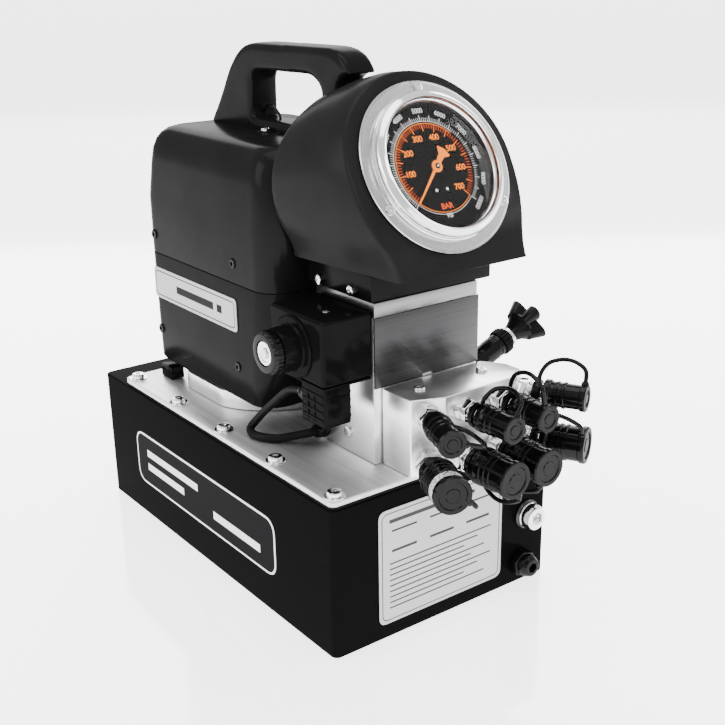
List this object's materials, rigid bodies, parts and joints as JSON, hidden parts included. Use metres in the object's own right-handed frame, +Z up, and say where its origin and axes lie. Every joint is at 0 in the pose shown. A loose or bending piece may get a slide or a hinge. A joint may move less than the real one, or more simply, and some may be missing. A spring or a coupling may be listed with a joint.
{
  "type": "electric hydraulic power unit",
  "caption": "Portable electric hydraulic power unit: oil tank, motor under a carry-handle cover, valve block, tilted pressure gauge, capped port manifold and relief valve.",
  "frame": {"origin": "centre of the tank's flat underside", "axes": "+Z up, +Y from the gauge and ports towards the motor cover and the closed rear strip of the tank, +X to the relief valve side; facing the ports, +X is on the right"},
  "size_m": [0.2488, 0.4447, 0.429],
  "materials": {
    "tank_black": "gloss powder coat",
    "brushed": "brushed",
    "machined": "fine machined",
    "steel": "ground",
    "chrome": "bright plated",
    "cover_black": "satin moulded",
    "housing_grey": "fine grained",
    "bracket_black": "satin black",
    "rubber": "smooth moulded",
    "gasket": "flat sheet",
    "iron": "as cast",
    "label_silver": "printed sheet",
    "dial_black": "matt",
    "pointer_orange": "matt",
    "lens": "clear"
  },
  "bodies": {
    "power_unit": {"armature_tube": "chrome", "block_gland": "bracket_black", "coil_nut": "bracket_black", "connector_gland": "bracket_black", "coupler_1": "chrome", "coupler_2": "chrome", "coupler_3": "chrome", "coupler_4": "chrome", "coupler_5": "chrome", "coupler_6": "chrome", "coupler_7": "chrome", "coupler_8": "chrome", "cover_plate": "brushed", "din_connector": "cover_black", "drain_plug": "rubber", "flange_screw_1": "chrome", "flange_screw_2": "chrome", "flange_screw_3": "chrome", "front_label_plate": "label_silver", "gauge_bezel": "chrome", "gauge_bracket": "bracket_black", "gauge_case": "steel", "gauge_dial": "dial_black", "gauge_housing": "housing_grey", "gauge_lens": "lens", "gauge_stem": "steel", "level_fitting": "chrome", "mains_gland": "rubber", "motor_flange": "machined", "motor_stator": "iron", "port_manifold": "machined", "pump_body": "iron", "relief_valve_body": "rubber", "shroud_badge": "label_silver", "shroud_lower": "cover_black", "shroud_upper": "cover_black", "solenoid_cable": "rubber", "solenoid_coil": "cover_black", "suction_strainer": "steel", "tank": "tank_black", "tank_gasket": "gasket", "valve_block": "machined", "valve_front_plate": "brushed", "valve_top_plate": "machined"},
    "motor": {"motor_rotor": "iron", "cooling_fan": "bracket_black"},
    "pointer": {"gauge_pointer": "pointer_orange"},
    "override": {"override_pin": "steel", "valve_spool": "steel"},
    "relief_seat": {"relief_spring_seat": "steel"},
    "relief_knob": {"relief_knob": "cover_black"},
    "relief_lock_ring": {"relief_lock_ring": "bracket_black"},
    "dust_cap_1": {"dust_cap_1": "rubber"},
    "dust_cap_2": {"dust_cap_2": "rubber"},
    "dust_cap_3": {"dust_cap_3": "rubber"},
    "dust_cap_4": {"dust_cap_4": "rubber"},
    "dust_cap_5": {"dust_cap_5": "rubber"},
    "dust_cap_6": {"dust_cap_6": "rubber"},
    "dust_cap_7": {"dust_cap_7": "rubber"},
    "dust_cap_8": {"dust_cap_8": "rubber"}
  },
  "joints": [
    {"name": "motor_spin", "type": "hinge", "parent": "power_unit", "child": "motor", "pos_m": [0.002, 0.0525, 0.2], "axis": [0, 0, 1], "continuous": true},
    {"name": "gauge_pointer_swing", "type": "hinge", "parent": "power_unit", "child": "pointer", "pos_m": [0.0157, -0.1523, 0.348], "axis": [0, -0.8796, 0.4756], "range_deg": [-270, 0], "stiffness_Nm_per_rad": 0.0002},
    {"name": "override_press", "type": "slide", "parent": "power_unit", "child": "override", "axis": [1, 0, 0], "range_m": [0, 0.004], "stiffness_N_per_m": 1200, "springref_m": -0.002},
    {"name": "relief_seat_travel", "type": "slide", "parent": "power_unit", "child": "relief_seat", "axis": [0.9205, 0, 0.3907], "range_m": [-0.002, 0.002]},
    {"name": "relief_knob_turn", "type": "hinge", "parent": "relief_seat", "child": "relief_knob", "pos_m": [0.057, -0.1445, 0.1805], "axis": [0.9205, 0, 0.3907], "range_deg": [-720, 720]},
    {"name": "relief_lock_ring_turn", "type": "hinge", "parent": "power_unit", "child": "relief_lock_ring", "pos_m": [0.057, -0.1445, 0.1805], "axis": [0.9205, 0, 0.3907], "range_deg": [0, 720]},
    {"name": "dust_cap_1_pull", "type": "slide", "parent": "power_unit", "child": "dust_cap_1", "axis": [-0.3746, -0.9272, 0], "range_m": [0, 0.028]},
    {"name": "dust_cap_2_pull", "type": "slide", "parent": "power_unit", "child": "dust_cap_2", "axis": [0, -1, 0], "range_m": [0, 0.028]},
    {"name": "dust_cap_3_pull", "type": "slide", "parent": "power_unit", "child": "dust_cap_3", "axis": [0, -1, 0], "range_m": [0, 0.028]},
    {"name": "dust_cap_4_pull", "type": "slide", "parent": "power_unit", "child": "dust_cap_4", "axis": [0.4772, -0.8788, 0], "range_m": [0, 0.028]},
    {"name": "dust_cap_5_pull", "type": "slide", "parent": "power_unit", "child": "dust_cap_5", "axis": [-0.3746, -0.9272, 0], "range_m": [0, 0.028]},
    {"name": "dust_cap_6_pull", "type": "slide", "parent": "power_unit", "child": "dust_cap_6", "axis": [0, -1, 0], "range_m": [0, 0.028]},
    {"name": "dust_cap_7_pull", "type": "slide", "parent": "power_unit", "child": "dust_cap_7", "axis": [0, -1, 0], "range_m": [0, 0.028]},
    {"name": "dust_cap_8_pull", "type": "slide", "parent": "power_unit", "child": "dust_cap_8", "axis": [0.4772, -0.8788, 0], "range_m": [0, 0.028]}
  ],
  "couplings": [
    {"joint": "relief_knob_turn", "follows": "relief_seat_travel", "rad_per_m": 6283.2}
  ]
}
